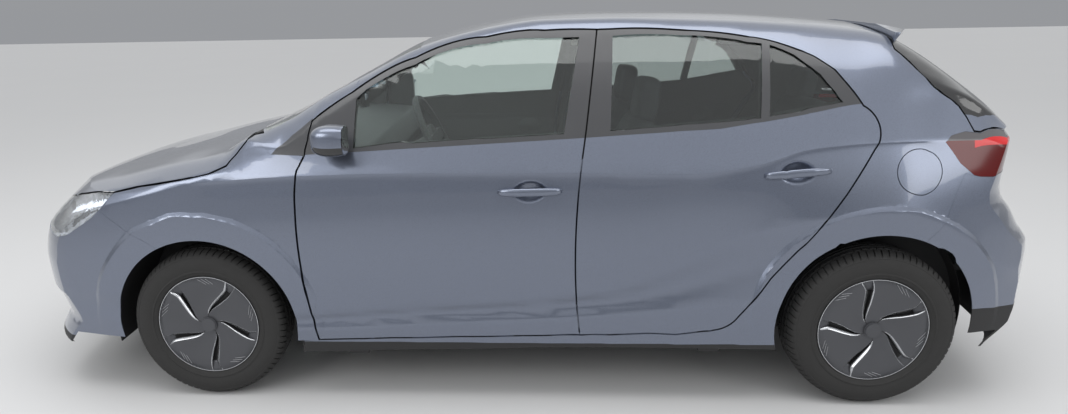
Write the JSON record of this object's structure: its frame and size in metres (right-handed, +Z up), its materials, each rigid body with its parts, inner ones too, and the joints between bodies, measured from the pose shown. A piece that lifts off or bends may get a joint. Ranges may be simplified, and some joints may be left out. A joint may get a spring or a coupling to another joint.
{
  "type": "five-door hatchback car",
  "caption": "Small family hatchback with side doors, a lifting tailgate and bonnet, steered front wheels, struts in front and a twist beam behind.",
  "frame": {"origin": "on the ground, midway along the body and on its centre plane", "axes": "+X rearward, +Y to the car's right, +Z up"},
  "size_m": [4.113, 1.97, 1.4801],
  "materials": {
    "body_paint": "metallic gloss",
    "window_glass": "clear, lightly tinted",
    "lamp_clear": "clear lens",
    "lamp_red": "smoked red lens",
    "trim_black": "grained black",
    "dash_plastic": "soft grained",
    "seat_cloth": "woven",
    "underbody": "sealed satin",
    "chassis_black": "satin black",
    "engine_metal": "cast",
    "exhaust_steel": "dull",
    "cast_metal": "cast",
    "tyre_rubber": "matt",
    "wheel_cover": "satin dark grey"
  },
  "bodies": {
    "root": {"floor_pan": "underbody", "front_structure": "underbody", "front_subframe": "chassis_black", "front_struts": "chassis_black", "rear_axle_beam": "chassis_black", "engine_block": "engine_metal", "fuel_tank": "trim_black", "exhaust": "exhaust_steel", "front_arch_liners": "trim_black", "rear_arch_liners": "trim_black", "side_frame_left": "body_paint", "side_frame_right": "body_paint", "roof_panel": "body_paint", "fender_left": "body_paint", "fender_right": "body_paint", "front_bumper": "body_paint", "lower_grille": "trim_black", "rear_bumper": "body_paint", "headlamps": "lamp_clear", "tail_lamps": "lamp_red", "windscreen": "window_glass", "cowl_panel": "trim_black", "instrument_panel": "dash_plastic", "centre_console": "dash_plastic", "steering_wheel": "dash_plastic", "front_seats": "seat_cloth", "rear_seat": "seat_cloth"},
    "bonnet": {"bonnet": "body_paint"},
    "fuel_flap": {"fuel_flap": "body_paint"},
    "tailgate": {"tailgate": "body_paint", "tailgate_glass": "window_glass", "tailgate_spoiler": "body_paint", "tailgate_lamps": "lamp_red"},
    "door_front_left": {"door_front_left": "body_paint", "glass_front_left": "window_glass", "mirror_left": "body_paint"},
    "door_rear_left": {"door_rear_left": "body_paint", "glass_rear_left": "window_glass"},
    "knuckle_left": {"knuckle_left": "cast_metal"},
    "door_front_right": {"door_front_right": "body_paint", "glass_front_right": "window_glass", "mirror_right": "body_paint"},
    "door_rear_right": {"door_rear_right": "body_paint", "glass_rear_right": "window_glass"},
    "knuckle_right": {"knuckle_right": "cast_metal"},
    "wheel_front_left": {"tyre_front_left": "tyre_rubber", "wheel_front_left": "wheel_cover"},
    "wheel_front_right": {"tyre_front_right": "tyre_rubber", "wheel_front_right": "wheel_cover"},
    "wheel_rear_left": {"tyre_rear_left": "tyre_rubber", "wheel_rear_left": "wheel_cover"},
    "wheel_rear_right": {"tyre_rear_right": "tyre_rubber", "wheel_rear_right": "wheel_cover"}
  },
  "joints": [
    {"name": "steer_left", "type": "hinge", "parent": "root", "child": "knuckle_left", "pos_m": [-1.2185, -0.724, 0.175], "axis": [0, 0.1947, 0.9809], "range_deg": [-35, 35]},
    {"name": "steer_right", "type": "hinge", "parent": "root", "child": "knuckle_right", "pos_m": [-1.2185, 0.724, 0.175], "axis": [0, -0.1947, 0.9809], "range_deg": [-35, 35]},
    {"name": "roll_front_left", "type": "hinge", "parent": "knuckle_left", "child": "wheel_front_left", "pos_m": [-1.2185, -0.7745, 0.3105], "axis": [0, -1, 0], "continuous": true},
    {"name": "roll_front_right", "type": "hinge", "parent": "knuckle_right", "child": "wheel_front_right", "pos_m": [-1.2185, 0.7745, 0.3105], "axis": [0, -1, 0], "continuous": true},
    {"name": "roll_rear_left", "type": "hinge", "parent": "root", "child": "wheel_rear_left", "pos_m": [1.3515, -0.7745, 0.3105], "axis": [0, -1, 0], "continuous": true},
    {"name": "roll_rear_right", "type": "hinge", "parent": "root", "child": "wheel_rear_right", "pos_m": [1.3515, 0.7745, 0.3105], "axis": [0, -1, 0], "continuous": true},
    {"name": "open_door_front_left", "type": "hinge", "parent": "root", "child": "door_front_left", "pos_m": [-0.7885, -0.88, 0.5], "axis": [0, 0, -1], "range_deg": [0, 65]},
    {"name": "open_door_rear_left", "type": "hinge", "parent": "root", "child": "door_rear_left", "pos_m": [0.2625, -0.879, 0.5], "axis": [0, 0, -1], "range_deg": [0, 65]},
    {"name": "open_door_front_right", "type": "hinge", "parent": "root", "child": "door_front_right", "pos_m": [-0.7885, 0.88, 0.5], "axis": [0, 0, 1], "range_deg": [0, 65]},
    {"name": "open_door_rear_right", "type": "hinge", "parent": "root", "child": "door_rear_right", "pos_m": [0.2625, 0.879, 0.5], "axis": [0, 0, 1], "range_deg": [0, 65]},
    {"name": "open_bonnet", "type": "hinge", "parent": "root", "child": "bonnet", "pos_m": [-0.9665, 0, 1.042], "axis": [0, 1, 0], "range_deg": [0, 55]},
    {"name": "open_tailgate", "type": "hinge", "parent": "root", "child": "tailgate", "pos_m": [1.3635, 0, 1.408], "axis": [0, -1, 0], "range_deg": [0, 75]},
    {"name": "open_fuel_flap", "type": "hinge", "parent": "root", "child": "fuel_flap", "pos_m": [1.3675, -0.859, 0.907], "axis": [0, -0.252, -0.9677], "range_deg": [0, 90]}
  ],
  "couplings": [
    {"joint": "steer_right", "follows": "steer_left", "ratio": 1}
  ]
}
